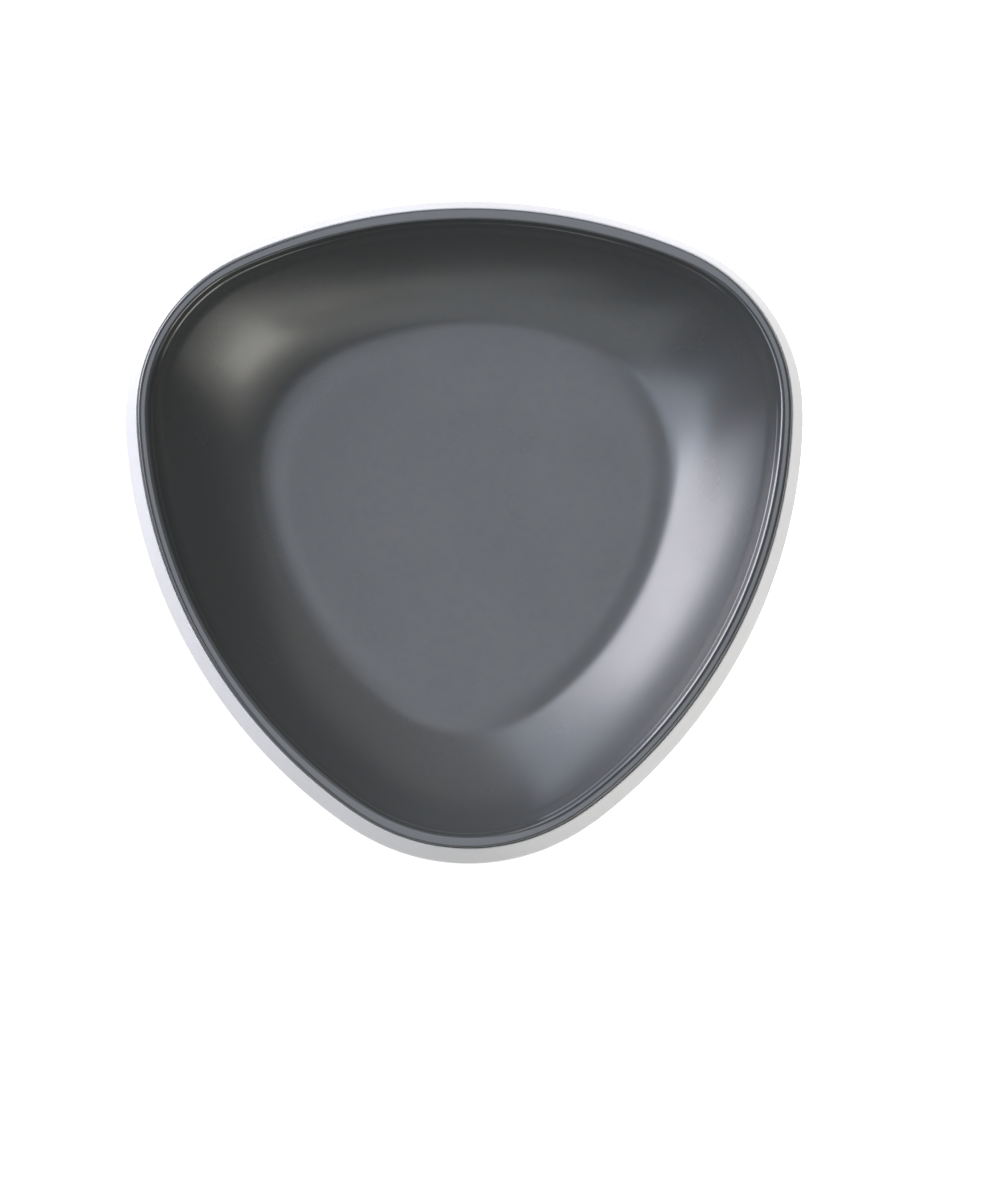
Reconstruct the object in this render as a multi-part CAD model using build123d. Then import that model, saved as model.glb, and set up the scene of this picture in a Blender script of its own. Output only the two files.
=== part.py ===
from build123d import *
import os
from math import hypot, radians, sqrt, tan
from typing import NamedTuple

# Shallow rounded-triangle dish in two bonded mouldings of melamine: a thick white shell with its
# foot ring, and a dark grey liner that covers the whole food side up to and over the lip.
# Millimetres. The dish rests on Z = 0, +Z is up, and one of its three corners, the front one,
# points along -Y. The dish is symmetric about X = 0. The origin is the middle of its plan box on
# the resting plane.


class Outline(NamedTuple):
    """A closed plan outline of six tangent arcs: three corners joined by three bowed sides."""
    front_y: float        # centre of the front corner's arc, on the line of symmetry
    front_r: float        # its radius
    back_x: float         # centre of the right back corner's arc
    back_y: float
    back_r: float         # its radius
    flank_r: float        # radius of the side between the front corner and a back corner
    back_side_r: float    # radius of the side between the two back corners


# ---- Heights above the resting plane -------------------------------------------------------
HEIGHT = 32.0                 # top of the lip
FLOOR_TOP = 7.7               # flat floor, food side
BELLY_Z = 24.8                # widest line of the outside
SHELL_TOP = 30.9              # white land beside the grey lip
FOOT_H = 3.4                  # where the outside wall meets the foot ring
RECESS_Z = 2.8                # underside of the base, inside the foot ring

# ---- Plan outlines -------------------------------------------------------------------------
LIP_OUTER = Outline(front_y=-47.2, front_r=58.0, back_x=46.7, back_y=28.1, back_r=51.7,
                    flank_r=155.7, back_side_r=167.6)
FLOOR_EDGE = Outline(front_y=-25.4, front_r=40.0, back_x=22.0, back_y=12.7, back_r=40.0,
                     flank_r=96.0, back_side_r=96.0)
FOOT_JOIN = Outline(front_y=-27.8, front_r=42.0, back_x=24.0, back_y=13.9, back_r=42.0,
                    flank_r=101.0, back_side_r=101.0)

# ---- Lip and rim ---------------------------------------------------------------------------
LIP_WIDTH = 3.9               # grey lip, seen from above
LIP_INNER_ROUND = 1.4         # rounding from the lip down into the dish
LIP_OUTER_ROUND = 1.0         # rounding from the lip out to the white land
WHITE_LAND = 0.5              # width of the white land
BAND_OUT = 3.9                # the belly stands this far outside the lip
BELLY_ROUND = 1.5             # rounding of the belly's ridge

# ---- Walls ---------------------------------------------------------------------------------
WALL_WIDTH = 29.0             # plan width of the inner wall, from the floor's edge to the lip
SWELL_WIDTH = 6.0             # the floor starts to rise this far inside that edge
WALL_START_DEG = 5.0          # slope of the inner wall where it leaves the flat of the floor
WALL_END_DEG = 72.0           # slope of the inner wall where it reaches the lip
WALL_LOW_PULL = 0.45          # how long the wall keeps its low slope, as a share of its width
WALL_HIGH_PULL = 0.255        # how long it keeps its steep slope, as a share of its height
UNDER_WIDTH = 33.0            # plan width of the outside wall from the foot ring to the belly
UNDER_START_DEG = 22.0        # slope of the outside where it leaves the foot ring
UNDER_PULL = 0.38             # share of the width over which it keeps that slope
BELLY_PULL = 0.42             # share of the height over which it stays upright at the belly
LINER_DROP = 2.3              # thickness of the liner's floor
LINER_OUT = 1.0               # extra thickness of its wall, measured outwards
LINER_LEDGE = 2.6             # the lip's flange is this deep before it narrows to the liner

# ---- Foot ring -----------------------------------------------------------------------------
FOOT_WIDTH = 3.6              # at its root
FOOT_TAPER = 0.5              # each side of the ring draws in by this much towards its tip
FOOT_INSET = 1.2              # the ring's root stands this far inside the wall that joins it
FOOT_ROUND = 0.5              # rounding of both edges of the ring's tip
ROOT_ROUND = 0.8              # hollow rounding where the ring leaves the wall

WALL_LEVELS = 7               # outlines that each wall is drawn through
OPEN_TOP = 5.0                # cutting bodies run this far past the lip
LEAST_STEP = 2.0              # least height between two outlines of the liner's outside
EDGE_FIND = 0.05              # how near an edge lies to the outline it belongs to


def grown(outline, offset):
    """The same outline, moved outwards everywhere by the offset."""
    return outline._replace(
        front_r=outline.front_r + offset,
        back_r=outline.back_r + offset,
        flank_r=outline.flank_r + offset,
        back_side_r=outline.back_side_r + offset,
    )


def between(inner, outer, share):
    """The outline that lies a share of the way from the inner one to the outer one."""
    return Outline(*(a + (b - a) * share for a, b in zip(inner, outer)))


def corner_arcs(outline):
    """(centre, radius) of the front, right back and left back corners, anticlockwise."""
    return [
        (Vector(0, outline.front_y), outline.front_r),
        (Vector(outline.back_x, outline.back_y), outline.back_r),
        (Vector(-outline.back_x, outline.back_y), outline.back_r),
    ]


def side_arcs(outline):
    """(centre, radius) of the right flank, the back side and the left flank, anticlockwise."""
    corners = corner_arcs(outline)
    arcs = []
    for at, side_r in enumerate((outline.flank_r, outline.back_side_r, outline.flank_r)):
        start, start_r = corners[at]
        end, end_r = corners[(at + 1) % 3]
        span = (end - start).length
        along = (end - start) / span
        inward = Vector(-along.Y, along.X)
        reach = side_r - start_r
        forward = (reach ** 2 - (side_r - end_r) ** 2 + span ** 2) / (2 * span)
        arcs.append((start + along * forward + inward * sqrt(reach ** 2 - forward ** 2), side_r))
    return arcs


LIP_INNER = grown(LIP_OUTER, -LIP_WIDTH)
FLOOR_FLAT = between(FLOOR_EDGE, LIP_INNER, -SWELL_WIDTH / WALL_WIDTH)
BELLY = grown(LIP_OUTER, BAND_OUT)
BACK_Y = side_arcs(BELLY)[1][0].Y + BELLY.back_side_r
FRONT_Y = BELLY.front_y - BELLY.front_r
TO_PLAN_MIDDLE = Vector(0, -(BACK_Y + FRONT_Y) / 2, 0)


def section(outline, z):
    """The horizontal face inside an outline, at height z."""
    corners = corner_arcs(outline)
    sides = side_arcs(outline)
    joints = []
    for at, (corner, corner_r) in enumerate(corners):
        for side, _ in (sides[at - 1], sides[at]):
            joints.append(corner + (corner - side).normalized() * corner_r)
    edges = []
    for at in range(3):
        start, end = joints[2 * at], joints[2 * at + 1]
        next_start = joints[(2 * at + 2) % 6]
        corner, corner_r = corners[at]
        side, side_r = sides[at]
        tip = corner + ((start + end) / 2 - corner).normalized() * corner_r
        middle = side + ((end + next_start) / 2 - side).normalized() * side_r
        edges.append(Edge.make_three_point_arc(start, tip, end))
        edges.append(Edge.make_three_point_arc(end, middle, next_start))
    return Face(Wire(edges)).moved(Location(TO_PLAN_MIDDLE + Vector(0, 0, z)))


def through(levels):
    """The closed solid through a list of (outline, height) levels."""
    return loft([section(outline, z) for outline, z in levels])


def bezier(points, t):
    """A point of the cubic curve with these four control points."""
    weights = ((1 - t) ** 3, 3 * t * (1 - t) ** 2, 3 * t ** 2 * (1 - t), t ** 3)
    return tuple(sum(w * p[axis] for w, p in zip(weights, points)) for axis in (0, 1))


def wall_levels(foot, foot_z, rim, rim_z, width, start_deg, low_pull, end_deg, high_pull):
    """Levels of a wall that leaves the foot outline at one slope and meets the rim at another."""
    height = rim_z - foot_z
    controls = [
        (0.0, 0.0),
        (low_pull * width, low_pull * width * tan(radians(start_deg))),
        (width - high_pull * height / tan(radians(end_deg)), (1 - high_pull) * height),
        (width, height),
    ]
    levels = []
    for step in range(WALL_LEVELS):
        out, up = bezier(controls, step / (WALL_LEVELS - 1))
        levels.append((between(foot, rim, out / width), foot_z + up))
    return levels


def ring_edges(solid, outline, z):
    """The edges of a solid that run round an outline at height z."""
    arcs = corner_arcs(outline) + side_arcs(outline)
    found = []
    for edge in solid.edges().filter_by_position(Axis.Z, z - EDGE_FIND, z + EDGE_FIND):
        middle = edge.position_at(0.5) - TO_PLAN_MIDDLE
        gaps = [abs(hypot(middle.X - c.X, middle.Y - c.Y) - r) for c, r in arcs]
        if min(gaps) < EDGE_FIND:
            found.append(edge)
    return found


def rounded(solid, radius, *rings):
    """The solid with the edges along each (outline, height) ring rounded."""
    edges = [edge for outline, z in rings for edge in ring_edges(solid, outline, z)]
    return solid.fillet(radius, edges)


def inner_wall():
    """Levels of the food side's wall, from the floor to the lip."""
    return wall_levels(FLOOR_FLAT, FLOOR_TOP, LIP_INNER, HEIGHT, SWELL_WIDTH + WALL_WIDTH,
                       WALL_START_DEG, WALL_LOW_PULL, WALL_END_DEG, WALL_HIGH_PULL)


def build_liner_body():
    """The liner before it is hollowed: what the shell is moulded round."""
    flange_z = SHELL_TOP - LINER_LEDGE
    flange = grown(LIP_OUTER, -LINER_OUT)
    levels = [(grown(outline, LINER_OUT), z - LINER_DROP) for outline, z in inner_wall()]
    levels = [level for level in levels if level[1] < flange_z - LEAST_STEP]
    body = through(levels + [(flange, flange_z)])
    body += through([(flange, flange_z), (LIP_OUTER, SHELL_TOP)])
    body += through([(LIP_OUTER, SHELL_TOP), (LIP_OUTER, HEIGHT)])
    return body


def build_inner_liner(body):
    """Grey liner: floor, wall and the lip that turns over the shell's top edge."""
    hollow = through(inner_wall())
    hollow += through([(LIP_INNER, HEIGHT), (LIP_INNER, HEIGHT + OPEN_TOP)])
    liner = (body - hollow).solid()
    liner = rounded(liner, LIP_INNER_ROUND, (LIP_INNER, HEIGHT))
    return rounded(liner, LIP_OUTER_ROUND, (LIP_OUTER, HEIGHT))


def build_outer_shell(liner_body):
    """White shell: belly, shoulder, base and foot ring, up to the land beside the lip."""
    outside = wall_levels(FOOT_JOIN, FOOT_H, BELLY, BELLY_Z, UNDER_WIDTH,
                          UNDER_START_DEG, UNDER_PULL, 90.0, BELLY_PULL)
    body = through(outside)
    body += through([(BELLY, BELLY_Z), (grown(LIP_OUTER, WHITE_LAND), SHELL_TOP)])
    root = grown(FOOT_JOIN, -FOOT_INSET)
    tip = grown(root, -FOOT_TAPER)
    body += through([(tip, 0), (root, FOOT_H)])
    recess_top = grown(root, -FOOT_WIDTH)
    recess_mouth = grown(recess_top, FOOT_TAPER)
    body -= through([(recess_mouth, 0), (recess_top, RECESS_Z)])
    shell = (body - liner_body).solid()
    shell = rounded(shell, BELLY_ROUND, (BELLY, BELLY_Z))
    shell = rounded(shell, FOOT_ROUND, (tip, 0), (recess_mouth, 0))
    return rounded(shell, ROOT_ROUND, (root, FOOT_H))


liner_body = build_liner_body()
pieces = {
    "outer_shell": build_outer_shell(liner_body),
    "inner_liner": build_inner_liner(liner_body),
}
os.makedirs("parts", exist_ok=True)
for name, solid in pieces.items():
    export_step(solid, f"parts/{name}.step")
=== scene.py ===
import math
from collections import namedtuple

import bpy
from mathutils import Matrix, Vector


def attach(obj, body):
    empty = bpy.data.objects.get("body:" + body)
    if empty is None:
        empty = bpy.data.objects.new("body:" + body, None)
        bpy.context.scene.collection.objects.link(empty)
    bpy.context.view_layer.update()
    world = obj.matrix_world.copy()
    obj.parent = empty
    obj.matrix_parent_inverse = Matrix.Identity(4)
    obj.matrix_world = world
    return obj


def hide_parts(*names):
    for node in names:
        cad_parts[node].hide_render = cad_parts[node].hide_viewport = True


# A rounded-triangle dish in two-tone melamine. The dish rests on Z = 0 with its front corner
# towards -Y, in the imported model's own frame. Shapes are worked out in millimetres and written
# to the meshes in metres.

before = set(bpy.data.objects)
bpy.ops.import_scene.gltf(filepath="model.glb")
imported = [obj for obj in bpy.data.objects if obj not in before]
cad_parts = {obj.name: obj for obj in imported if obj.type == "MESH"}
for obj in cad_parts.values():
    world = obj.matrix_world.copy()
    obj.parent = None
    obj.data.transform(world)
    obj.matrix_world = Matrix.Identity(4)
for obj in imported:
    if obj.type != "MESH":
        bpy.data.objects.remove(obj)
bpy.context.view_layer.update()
MM = 0.001

# A closed plan outline of six tangent arcs: the front corner's arc, the two back corners' arcs
# at plus and minus back_x, the two flanks that join them to the front, and the back side.
Outline = namedtuple("Outline", "front_y front_r back_x back_y back_r flank_r back_side_r")

# ---- Driving dimensions: the CAD model's, with a finer lip and wall ----------------------------
# LIP_OUTER and BAND_OUT are a scratch program's least-squares fit to the photo's edges, rounded.
LIP_OUTER = Outline(-47.2, 58.0, 46.7, 28.1, 51.7, 155.7, 167.6)
FLOOR_EDGE = Outline(-25.4, 40.0, 22.0, 12.7, 40.0, 96.0, 96.0)
FOOT_JOIN = Outline(-27.8, 42.0, 24.0, 13.9, 42.0, 101.0, 101.0)

HEIGHT = 32.0              # top of the lip
BELLY_Z = 24.8             # widest line of the outside
SHELL_TOP = 30.9           # white land beside the lip
FOOT_H = 3.4               # where the outside wall meets the foot ring
RECESS_Z = 2.8             # underside of the base

LIP_WIDTH = 3.9
SHOULDER_ROUND = 1.5       # a soft shoulder where the wall runs into the lip
SHOULDER_DEG = 36.0        # the least slope on it
LIP_RISE = 0.5             # straight part between the shoulder and the lip's rounding
LIP_INNER_ROUND = 1.3
LIP_RISE_DEG = 12.0        # slope of the lip's top at its inner side
LIP_FALL_DEG = 3.0         # and at its outer side
LIP_OUTER_ROUND = 0.65
WHITE_LAND = 0.5
LAND_ROUND = 0.25
BAND_OUT = 3.9             # the belly stands this far outside the lip
BELLY_ROUND = 1.5
SEAM = 0.03                # hairline between the two mouldings
SEAM_DEPTH = 0.3

WALL_WIDTH = 29.0          # from the floor's edge to the lip
# The food side's profile: distance outwards from the floor's edge and slope in degrees there,
# joined by arcs: the floor's swell, the heel that the eye takes for its edge, two long easy
# curves, and the steep one under the lip. It keeps within 0.6 mm of the CAD's simpler wall. The
# slopes started from a scratch program's fit to the photo's highlights and were changed by hand.
WALL_BENDS = ((-8.0, 0.0), (0.0, 11.0), (3.5, 23.5), (13.0, 35.6), (25.4, 46.5), (28.2, 62.0))
UNDER_WIDTH = 33.0         # outside wall, from the foot ring to the belly
UNDER_START_DEG = 22.0     # its slope where it leaves the foot ring
UNDER_PULL = 0.38          # share of its width over which it keeps that slope
BELLY_PULL = 0.42          # share of its height over which it stays upright at the belly
LINER_DROP = 2.3           # thickness of the liner's floor
LINER_OUT = 1.0            # extra thickness of its wall
LINER_LEDGE = 2.6          # depth of the lip's flange

FOOT_WIDTH = 3.6
FOOT_TAPER = 0.5           # each side of the ring draws in by this much towards its tip
FOOT_INSET = 1.2           # the ring stands this far inside the wall that joins it
FOOT_ROUND = 0.5
ROOT_ROUND = 0.8

CORNER_STEPS = 40          # mesh columns along a corner
SIDE_STEPS = 84            # and along a side
FAIR_PASSES = 16           # smoothing that eases each arc into the next
FAIR_GROWTH = 0.15         # makes up for what the smoothing takes off the outline
FLAT_RINGS = 8             # mesh rings that fill a flat face
FLAT_CAP = 0.25            # size of its middle, which stays one face, in gaps between the rings


# ---- Outlines ----------------------------------------------------------------------------------
def grown(outline, offset):
    """The same outline, moved outwards everywhere by the offset."""
    return outline._replace(
        front_r=outline.front_r + offset,
        back_r=outline.back_r + offset,
        flank_r=outline.flank_r + offset,
        back_side_r=outline.back_side_r + offset,
    )


def between(inner, outer, share):
    """The outline that lies a share of the way from the inner one to the outer one."""
    return Outline(*(a + (b - a) * share for a, b in zip(inner, outer)))


def corner_arcs(outline):
    """(centre, radius) of the front, right back and left back corners, anticlockwise."""
    return [
        (Vector((0, outline.front_y)), outline.front_r),
        (Vector((outline.back_x, outline.back_y)), outline.back_r),
        (Vector((-outline.back_x, outline.back_y)), outline.back_r),
    ]


def side_arcs(outline):
    """(centre, radius) of the right flank, the back side and the left flank, anticlockwise."""
    corners = corner_arcs(outline)
    arcs = []
    for at, side_r in enumerate((outline.flank_r, outline.back_side_r, outline.flank_r)):
        (start, start_r), (end, end_r) = corners[at], corners[(at + 1) % 3]
        span = (end - start).length
        along = (end - start) / span
        inward = Vector((-along.y, along.x))
        reach = side_r - start_r
        forward = (reach ** 2 - (side_r - end_r) ** 2 + span ** 2) / (2 * span)
        sideways = math.sqrt(reach ** 2 - forward ** 2)
        arcs.append((start + along * forward + inward * sideways, side_r))
    return arcs


LIP_INNER = grown(LIP_OUTER, -LIP_WIDTH)
BELLY = grown(LIP_OUTER, BAND_OUT)
BACK_Y = side_arcs(BELLY)[1][0].y + BELLY.back_side_r
PLAN_SHIFT = Vector((0, (BELLY.front_r - BELLY.front_y - BACK_Y) / 2))


def swept(centre, radius, start, end, steps):
    """Points from one direction to another round a centre, the last one left out."""
    first = math.atan2(start.y, start.x)
    turn = (math.atan2(end.y, end.x) - first) % math.tau
    angles = [first + turn * step / steps for step in range(steps)]
    return [centre + radius * Vector((math.cos(a), math.sin(a))) for a in angles]


def ring(outline):
    """Points round an outline, smoothed so that its curvature changes gradually."""
    outline = grown(outline, FAIR_GROWTH)
    corners, sides = corner_arcs(outline), side_arcs(outline)
    points = []
    for at in range(3):
        corner, corner_r = corners[at]
        before, after = sides[at - 1][0], sides[at][0]
        next_corner = corners[(at + 1) % 3][0]
        points += swept(corner, corner_r, corner - before, corner - after, CORNER_STEPS)
        points += swept(after, sides[at][1], corner - after, next_corner - after, SIDE_STEPS)
    count = len(points)
    for _ in range(FAIR_PASSES):
        points = [
            (points[i - 1] + 2 * points[i] + points[(i + 1) % count]) / 4 for i in range(count)
        ]
    return [point + PLAN_SHIFT for point in points]


# ---- Profiles ----------------------------------------------------------------------------------
class Trace:
    """A profile drawn as a pen would draw it, in millimetres outwards and upwards."""

    def __init__(self, out, up, heading_deg):
        self.points = [(out, up)]
        self.heading = math.radians(heading_deg)

    def run(self, length, steps=1):
        out, up = self.points[-1]
        for step in range(1, steps + 1):
            far = length * step / steps
            self.points.append((out + far * math.cos(self.heading),
                                up + far * math.sin(self.heading)))

    def bend(self, radius, to_deg, steps=8):
        """An arc of that radius, left or right, until the pen points the given way."""
        turn = math.radians(to_deg) - self.heading
        hand = math.copysign(1, turn)
        out, up = self.points[-1]
        middle_out = out - hand * radius * math.sin(self.heading)
        middle_up = up + hand * radius * math.cos(self.heading)
        for step in range(1, steps + 1):
            heading = self.heading + turn * step / steps
            self.points.append((middle_out + hand * radius * math.sin(heading),
                                middle_up - hand * radius * math.cos(heading)))
        self.heading += turn

    def curve_to(self, out, up, end_deg, start_pull, end_pull, steps):
        """A cubic curve to a point, leaving and arriving along straight pulls of those lengths."""
        x0, y0 = self.points[-1]
        end = math.radians(end_deg)
        x1, y1 = x0 + start_pull * math.cos(self.heading), y0 + start_pull * math.sin(self.heading)
        x2, y2 = out - end_pull * math.cos(end), up - end_pull * math.sin(end)
        for step in range(1, steps + 1):
            t = step / steps
            weights = ((1 - t) ** 3, 3 * t * (1 - t) ** 2, 3 * t ** 2 * (1 - t), t ** 3)
            self.points.append((sum(w * x for w, x in zip(weights, (x0, x1, x2, out))),
                                sum(w * y for w, y in zip(weights, (y0, y1, y2, up)))))
        self.heading = end


def flat_field(edge):
    """Levels that fill a flat face from near its middle out to just short of its edge's level."""
    outline, z, out = edge
    shares = [(step + FLAT_CAP) / (FLAT_RINGS + FLAT_CAP) for step in range(FLAT_RINGS)]
    return [(Outline(*(value * share for value in outline)), z, out) for share in shares]


def skin(name, levels):
    """A mesh of quads through (outline, z, out) levels, with a small cap at each end.

    "out" is the distance outwards from the floor's edge. The mesh keeps it for its material.
    """
    rings = [(ring(outline), z, out) for outline, z, out in levels]
    verts = [(x * MM, y * MM, z * MM) for points, z, _ in rings for x, y in points]
    count = len(rings[0][0])
    faces = [tuple(reversed(range(count)))]
    for row in range(len(rings) - 1):
        for column in range(count):
            a = row * count + column
            b = row * count + (column + 1) % count
            faces.append((a, b, b + count, a + count))
    faces.append(tuple(range(len(verts) - count, len(verts))))
    mesh = bpy.data.meshes.new(name)
    mesh.from_pydata(verts, [], faces)
    mesh.polygons.foreach_set("use_smooth", [True] * len(mesh.polygons))
    distances = [out for points, _, out in rings for _ in points]
    mesh.attributes.new("out", "FLOAT", "POINT").data.foreach_set("value", distances)
    mesh.update()
    obj = bpy.data.objects.new(name, mesh)
    bpy.context.scene.collection.objects.link(obj)
    return obj


# ---- The grey liner ----------------------------------------------------------------------------
def on_wall(out):
    """The outline of the food side at a distance outwards from the floor's edge."""
    if out <= WALL_WIDTH:
        return between(FLOOR_EDGE, LIP_INNER, out / WALL_WIDTH)
    return grown(LIP_INNER, out - WALL_WIDTH)


def food_side():
    """The food side's profile from the flat floor over the lip, outwards from the floor's edge."""
    bends = [(out, math.radians(deg)) for out, deg in WALL_BENDS]
    trace = Trace(bends[0][0], 0, 0)
    for (start_out, start), (end_out, end) in zip(bends, bends[1:]):
        radius = (end_out - start_out) / (math.sin(end) - math.sin(start))
        trace.bend(radius, math.degrees(end), steps=8)
    trace.bend(SHOULDER_ROUND, SHOULDER_DEG, steps=6)
    trace.bend(SHOULDER_ROUND, WALL_BENDS[-1][1], steps=6)
    trace.run(LIP_RISE)
    trace.bend(LIP_INNER_ROUND, LIP_RISE_DEG, steps=12)
    rise, fall = math.sin(math.radians(LIP_RISE_DEG)), math.sin(math.radians(LIP_FALL_DEG))
    crown_end = WALL_WIDTH + LIP_WIDTH - LIP_OUTER_ROUND * (1 - fall)
    trace.bend((crown_end - trace.points[-1][0]) / (rise + fall), -LIP_FALL_DEG, steps=8)
    trace.bend(LIP_OUTER_ROUND, -90, steps=10)
    floor_z = HEIGHT - max(up for _, up in trace.points)
    return [(out, floor_z + up) for out, up in trace.points]


def liner_levels():
    """From the middle of the floor, up over the lip, and back under the floor."""
    front = [(on_wall(out), z, out) for out, z in food_side()]
    lip_end = WALL_WIDTH + LIP_WIDTH
    back = [(grown(LIP_OUTER, -SEAM), SHELL_TOP - SEAM_DEPTH, lip_end),
            (grown(LIP_OUTER, -LINER_OUT), SHELL_TOP - LINER_LEDGE, lip_end)]
    wall = [(grown(outline, LINER_OUT), z - LINER_DROP, out) for outline, z, out in front
            if z < SHELL_TOP - LINER_LEDGE]
    return flat_field(front[0]) + front + back + wall[::-1] + flat_field(wall[0])[::-1]


liner = skin("grey_liner", liner_levels())


# ---- The white shell ---------------------------------------------------------------------------
def foot_side():
    """The foot ring's profile, from the recess's edge to the outside wall, out from FOOT_JOIN."""
    lean = math.atan(FOOT_TAPER / RECESS_Z)
    upright_deg = 90 - math.degrees(lean)
    tip_rise = FOOT_ROUND * (1 - math.sin(lean))
    root_rise = ROOT_ROUND * (math.cos(math.radians(UNDER_START_DEG)) - math.sin(lean))
    trace = Trace(-FOOT_INSET - FOOT_WIDTH - ROOT_ROUND, RECESS_Z, 0)
    trace.bend(ROOT_ROUND, -upright_deg, steps=6)
    trace.run((trace.points[-1][1] - tip_rise) / math.cos(lean), steps=2)
    trace.bend(FOOT_ROUND, 0, steps=6)
    tip_end = -FOOT_INSET - FOOT_TAPER - FOOT_ROUND
    trace.run(tip_end - trace.points[-1][0], steps=2)
    trace.bend(FOOT_ROUND, upright_deg, steps=6)
    trace.run((FOOT_H - root_rise - trace.points[-1][1]) / math.cos(lean), steps=2)
    trace.bend(ROOT_ROUND, UNDER_START_DEG, steps=6)
    return trace


def shell_levels():
    """From the middle of the base's underside, round the foot and the belly to the white land."""
    lip_end = WALL_WIDTH + LIP_WIDTH
    foot = foot_side()
    levels = [(grown(FOOT_JOIN, out), z, lip_end) for out, z in foot.points]
    outside = Trace(*foot.points[-1], UNDER_START_DEG)
    band_run, band_rise = BAND_OUT - WHITE_LAND, SHELL_TOP - BELLY_Z
    band_deg = 180 - math.degrees(math.atan(band_rise / band_run))
    trim = BELLY_ROUND * math.tan(math.radians(band_deg - 90) / 2)
    outside.curve_to(UNDER_WIDTH, BELLY_Z - trim, 90,
                     UNDER_PULL * UNDER_WIDTH / math.cos(math.radians(UNDER_START_DEG)),
                     BELLY_PULL * (BELLY_Z - FOOT_H), steps=36)
    levels += [(between(FOOT_JOIN, BELLY, out / UNDER_WIDTH), z, lip_end + BAND_OUT)
               for out, z in outside.points[1:]]
    band = Trace(BAND_OUT, BELLY_Z - trim, 90)
    band.bend(BELLY_ROUND, band_deg, steps=8)
    land_trim = LAND_ROUND * math.tan(math.radians(180 - band_deg) / 2)
    band.run(math.hypot(band_run, band_rise) - trim - land_trim, steps=8)
    band.bend(LAND_ROUND, 180, steps=5)
    band.run(band.points[-1][0] - SEAM - LAND_ROUND)
    band.bend(LAND_ROUND / 2, 270, steps=4)
    levels += [(grown(LIP_OUTER, out), z, lip_end + out) for out, z in band.points[1:]]
    levels.append((grown(LIP_OUTER, SEAM - LINER_OUT), SHELL_TOP - LINER_LEDGE, lip_end))
    wall = [(grown(on_wall(out), LINER_OUT + SEAM), z - LINER_DROP - SEAM, out)
            for out, z in food_side() if z < SHELL_TOP - LINER_LEDGE]
    return flat_field(levels[0]) + levels + wall[::-1] + flat_field(wall[0])[::-1]


shell = skin("white_shell", shell_levels())


# ---- Materials: lengths in metres, linear colours, noise scales in features per metre ----------
MELAMINE_IOR = 1.68
GREY_GLOSS = 0.75          # specular level of the grey: its polish adds to the resin's own 0.5
SATIN_ROUGHNESS = (0.25, 0.27)
SMEAR_ROUGHNESS = 0.02     # added where a smear dulls the satin
LIP_ROUGHNESS = 0.09
POLISH_START = 1.4         # the wall turns glossier over this many millimetres below the lip
POLISH_PITCH = 3.1         # millimetres between the faint rings that polishing leaves
RING_SHARE = 0.35          # relief of those rings, as a share of the grain's
GREY_RELIEF = 2.2e-6
GREY_COOL = (0.0660, 0.0705, 0.0710, 1)
GREY_WARM = (0.0740, 0.0715, 0.0680, 1)
GREY_CLOUD = (0.064, 0.067, 0.068, 1)
CLOUD_SHARE = 0.35
DUST = (0.30, 0.31, 0.31, 1)
DUST_SHARE = 0.6
PIT = (0.012, 0.012, 0.012, 1)

GLOSS_ROUGHNESS = (0.20, 0.25)
WHITE_RELIEF = 6e-6
WHITE_DULL = (0.705, 0.695, 0.695, 1)
WHITE_CLEAR = (0.73, 0.72, 0.725, 1)
SPECK = (0.30, 0.28, 0.26, 1)

FLOOR_GREY = (0.08, 0.08, 0.08, 1)
FLOOR_ROUGHNESS = 0.9
FLOOR_GLOW = 0.97          # radiance of the floor under the dish; white paper is 1
FLOOR_GLOW_RIGHT = 1.7     # and of the floor to its right
GLOW_RISE_X = 0.11         # it rises from the dish's middle to this X


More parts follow.
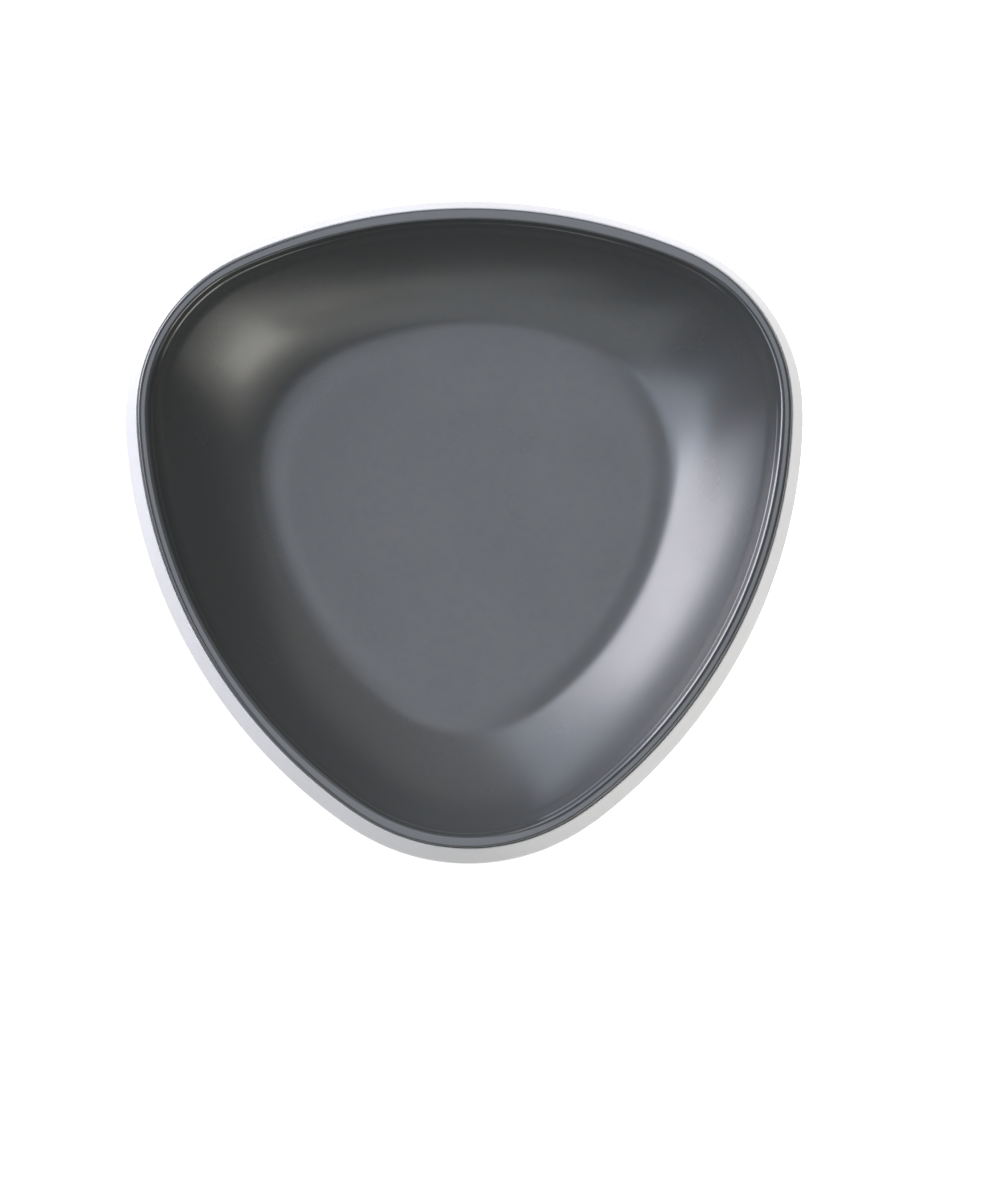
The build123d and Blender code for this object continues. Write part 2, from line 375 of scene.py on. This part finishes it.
class Finish:
    """A Principled material whose colour, roughness and relief are built from nodes."""

    def __init__(self, name, ior):
        self.material = bpy.data.materials.new(name)
        self.material.use_nodes = True
        self.tree = self.material.node_tree
        self.shader = self.tree.nodes["Principled BSDF"]
        self.shader.inputs["IOR"].default_value = ior
        self.place = self.add("ShaderNodeTexCoord").outputs["Object"]

    def add(self, kind, inputs=(), **settings):
        """A node with its settings, and with values or links given to its inputs."""
        node = self.tree.nodes.new(kind)
        for key, value in settings.items():
            setattr(node, key, value)
        for key, value in dict(inputs).items():
            if isinstance(value, bpy.types.NodeSocket):
                self.tree.links.new(value, node.inputs[key])
            else:
                node.inputs[key].default_value = value
        return node

    def math(self, operation, first, second=0.0):
        return self.add("ShaderNodeMath", {0: first, 1: second}, operation=operation).outputs[0]

    def moved(self, offset):
        """The surface's own coordinates, shifted so that two patterns don't coincide."""
        return self.add("ShaderNodeMapping", {"Vector": self.place, "Location": offset}).outputs[0]

    def noise(self, scale, detail=3.0, roughness=0.5, offset=(0, 0, 0)):
        """Cloudy values about 0.5."""
        return self.add("ShaderNodeTexNoise", {"Vector": self.moved(offset), "Scale": scale,
                                               "Detail": detail, "Roughness": roughness}).outputs[0]

    def clouds(self, **noise):
        """The same, with its contrast raised until it runs from 0 to 1."""
        return self.remap(self.noise(**noise), 0.35, 0.65, 0.0, 1.0)

    def remap(self, value, low, high, to_low, to_high, smooth=True):
        kind = "SMOOTHSTEP" if smooth else "LINEAR"
        return self.add("ShaderNodeMapRange", {"Value": value, "From Min": low, "From Max": high,
                                               "To Min": to_low, "To Max": to_high},
                        interpolation_type=kind).outputs["Result"]

    def blend(self, share, colour_a, colour_b):
        inputs = {"Factor": share, 6: colour_a, 7: colour_b}
        return self.add("ShaderNodeMix", inputs, data_type="RGBA").outputs[2]

    def dots(self, cell, radius, share, offset):
        """Round specks up to that radius, one in each of a share of the cells of that size."""
        cells = self.add("ShaderNodeTexVoronoi", {"Vector": self.moved(offset), "Scale": 1 / cell},
                         voronoi_dimensions="2D")
        chance = self.add("ShaderNodeSeparateColor", {"Color": cells.outputs["Color"]})
        chosen = self.math("LESS_THAN", chance.outputs[0], share)
        widest = radius / cell
        reach = self.remap(chance.outputs[1], 0, 1, widest / 2, widest, smooth=False)
        inside = self.math("SUBTRACT", 1.0, self.math("DIVIDE", cells.outputs["Distance"], reach))
        return self.math("MULTIPLY", chosen, self.remap(inside, 0.0, 0.5, 0.0, 1.0))

    def bump(self, height, distance):
        """Relief: a height of 1 stands for that distance in metres."""
        node = self.add("ShaderNodeBump", {"Height": height, "Distance": distance, "Strength": 1.0})
        self.tree.links.new(node.outputs[0], self.shader.inputs["Normal"])

    def set(self, socket, value):
        if isinstance(value, bpy.types.NodeSocket):
            self.tree.links.new(value, self.shader.inputs[socket])
        else:
            self.shader.inputs[socket].default_value = value


def grey_finish():
    """Satin dark slate melamine: cloudy pigment, dust and pits, faint smears, polished lip."""
    finish = Finish("satin_grey", MELAMINE_IOR)
    out = finish.add("ShaderNodeAttribute", attribute_name="out").outputs["Fac"]
    pigment = finish.clouds(scale=300, detail=4.0, roughness=0.6)
    cloud = finish.clouds(scale=38, detail=2.0, offset=(0.3, 0.1, 0))
    colour = finish.blend(pigment, GREY_COOL, GREY_WARM)
    colour = finish.blend(finish.math("MULTIPLY", cloud, CLOUD_SHARE), colour, GREY_CLOUD)
    dust = finish.dots(cell=0.023, radius=0.00013, share=0.06, offset=(0.01, 0.02, 0))
    colour = finish.blend(finish.math("MULTIPLY", dust, DUST_SHARE), colour, DUST)
    pits = finish.dots(cell=0.031, radius=0.00020, share=0.05, offset=(0.05, 0.07, 0))
    finish.set("Base Color", finish.blend(pits, colour, PIT))
    smear = finish.noise(scale=60, offset=(0.7, 0.2, 0))
    smear = finish.remap(smear, 0.50, 0.80, 0.0, 1.0)
    satin = finish.math("ADD", finish.remap(cloud, 0.0, 1.0, *SATIN_ROUGHNESS),
                        finish.math("MULTIPLY", smear, SMEAR_ROUGHNESS))
    polished = finish.remap(out, WALL_WIDTH - POLISH_START, WALL_WIDTH, 0.0, 1.0)
    rough = finish.add("ShaderNodeMix", {0: polished, 2: satin, 3: LIP_ROUGHNESS}).outputs[0]
    finish.set("Roughness", rough)
    finish.set("Specular IOR Level", GREY_GLOSS)
    grain = finish.noise(scale=900, roughness=0.6)
    rings = finish.math("SINE", finish.math("MULTIPLY", out, math.tau / POLISH_PITCH))
    relief = finish.math("ADD", grain, finish.math("MULTIPLY", rings, RING_SHARE))
    finish.bump(relief, GREY_RELIEF)
    return finish.material


def white_finish():
    """Gloss warm-white melamine, with faint cloudiness and the odd dark speck."""
    finish = Finish("gloss_white", MELAMINE_IOR)
    cloud = finish.clouds(scale=55)
    colour = finish.blend(cloud, WHITE_DULL, WHITE_CLEAR)
    specks = finish.dots(cell=0.019, radius=0.00025, share=0.12, offset=(0.03, 0.01, 0))
    finish.set("Base Color", finish.blend(specks, colour, SPECK))
    finish.set("Roughness", finish.remap(cloud, 0.0, 1.0, *GLOSS_ROUGHNESS))
    finish.bump(finish.noise(scale=420, roughness=0.6), WHITE_RELIEF)
    return finish.material


def floor_finish():
    """A white table lit from below, more so on the right, so that no shadow shows on it."""
    finish = Finish("pale_floor", 1.5)
    finish.set("Base Color", FLOOR_GREY)
    finish.set("Roughness", FLOOR_ROUGHNESS)
    finish.set("Emission Color", (1, 1, 1, 1))
    x = finish.add("ShaderNodeSeparateXYZ", {0: finish.place}).outputs[0]
    glow = finish.remap(x, 0.0, GLOW_RISE_X, FLOOR_GLOW, FLOOR_GLOW_RIGHT)
    finish.set("Emission Strength", glow)
    return finish.material


liner.data.materials.append(grey_finish())
shell.data.materials.append(white_finish())

for piece, node, slot in ((liner, "inner_liner", "grey_melamine"),
                          (shell, "outer_shell", "white_melamine")):
    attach(piece, "root")
    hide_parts(node)


# ---- Floor, lights and camera, in metres -------------------------------------------------------
FLOOR_HALF = 3.0
LIGHT_DISTANCE = 1.5
LIGHT_AIM = Vector((0, 0, 0.02))
STUDIO_LEVEL = 0.414       # dims every softbox alike
# Softboxes round the table, each aimed at the dish: azimuth and zenith in degrees, with azimuth 0
# towards +X and 90 towards +Y, then the half width and half height they appear to have from the
# dish, in degrees, and their radiance, in which white paper is 1. A spill is the soft glow that a
# softbox's diffuser and the walls near it add round it.
# This table is the output of a scratch program that fitted it to the photo's highlights. Only
# kicker, overhead_strip and front_strip were changed after that.
STUDIO = {
    "key": (142.4, 57.4, 13.7, 22.8, (10.8, 10.2, 10.9)),
    "key_spill": (135.0, 61.0, 26.6, 29.8, (3.0, 3.33, 3.99)),
    "kicker": (325.5, 47.0, 12.5, 7.6, (5.7, 5.55, 5.2)),
    "kicker_spill": (320.7, 49.4, 26.9, 17.8, (1.47, 1.47, 1.31)),
    "overhead_strip": (80.0, 4.5, 7.3, 28.0, (3.0, 3.22, 3.62)),
    "front_panel": (248.8, 40.4, 22.9, 14.7, (1.41, 1.5, 1.57)),
    "back_panel": (75.2, 52.5, 30.1, 25.9, (0.84, 0.85, 0.85)),
    "front_strip": (288.0, 56.8, 32.7, 2.0, (3.2, 3.25, 3.1)),
    "side_panel": (174.4, 33.9, 13.3, 17.3, (3.73, 4.2, 5.0)),
}
ROOM_GREY = (0.9, 0.9, 0.9, 1)
ROOM_LEVEL = 0.01

# The azimuth and the sideways shift are from the fit that LIP_OUTER is from. The rest was chosen.
CAMERA_DISTANCE = 1.4      # from the middle of the lip's plane
CAMERA_ELEVATION_DEG = 78.5
CAMERA_AZIMUTH_DEG = 269.06
CAMERA_LENS = 140.3        # millimetres, on a 36 mm sensor
CAMERA_SHIFT = (0.0205, -0.085)


def build_floor():
    mesh = bpy.data.meshes.new("floor")
    corners = [(-1, -1), (1, -1), (1, 1), (-1, 1)]
    verts = [(x * FLOOR_HALF, y * FLOOR_HALF, 0) for x, y in corners]
    mesh.from_pydata(verts, [], [(0, 1, 2, 3)])
    mesh.materials.append(floor_finish())
    floor = bpy.data.objects.new("floor", mesh)
    bpy.context.scene.collection.objects.link(floor)


def towards(azimuth_deg, from_up_deg):
    """The unit vector that points to an azimuth, so many degrees away from straight up."""
    azimuth, tilt = math.radians(azimuth_deg), math.radians(from_up_deg)
    flat = math.sin(tilt)
    return Vector((flat * math.cos(azimuth), flat * math.sin(azimuth), math.cos(tilt)))


def aimed(name, data, target, direction, distance):
    """A light or camera that looks at the target from that direction and distance."""
    obj = bpy.data.objects.new(name, data)
    obj.location = target + direction * distance
    obj.rotation_mode = "QUATERNION"
    obj.rotation_quaternion = direction.to_track_quat("Z", "Y")
    bpy.context.scene.collection.objects.link(obj)
    return obj


def softbox(name, azimuth, zenith, half_width, half_height, radiance):
    light = bpy.data.lights.new(name, "AREA")
    light.shape = "RECTANGLE"
    light.size = 2 * LIGHT_DISTANCE * math.tan(math.radians(half_width))
    light.size_y = 2 * LIGHT_DISTANCE * math.tan(math.radians(half_height))
    brightest = max(radiance)
    light.color = [value / brightest for value in radiance]
    light.energy = STUDIO_LEVEL * brightest * math.pi * light.size * light.size_y
    aimed(name, light, LIGHT_AIM, towards(azimuth, zenith), LIGHT_DISTANCE)


build_floor()
for name, settings in STUDIO.items():
    softbox(name, *settings)

world = bpy.data.worlds.new("studio")
world.use_nodes = True
room = world.node_tree.nodes["Background"]
room.inputs["Color"].default_value = ROOM_GREY
room.inputs["Strength"].default_value = ROOM_LEVEL

camera = bpy.data.cameras.new("camera")
camera.sensor_fit = "AUTO"
camera.sensor_width = 36.0
camera.lens = CAMERA_LENS
camera.shift_x, camera.shift_y = CAMERA_SHIFT

scene = bpy.context.scene
scene.world = world
scene.view_settings.view_transform = "Standard"
scene.view_settings.look = "None"
scene.camera = aimed("camera", camera, Vector((0, PLAN_SHIFT.y * MM, HEIGHT * MM)),
                     towards(CAMERA_AZIMUTH_DEG, 90 - CAMERA_ELEVATION_DEG), CAMERA_DISTANCE)
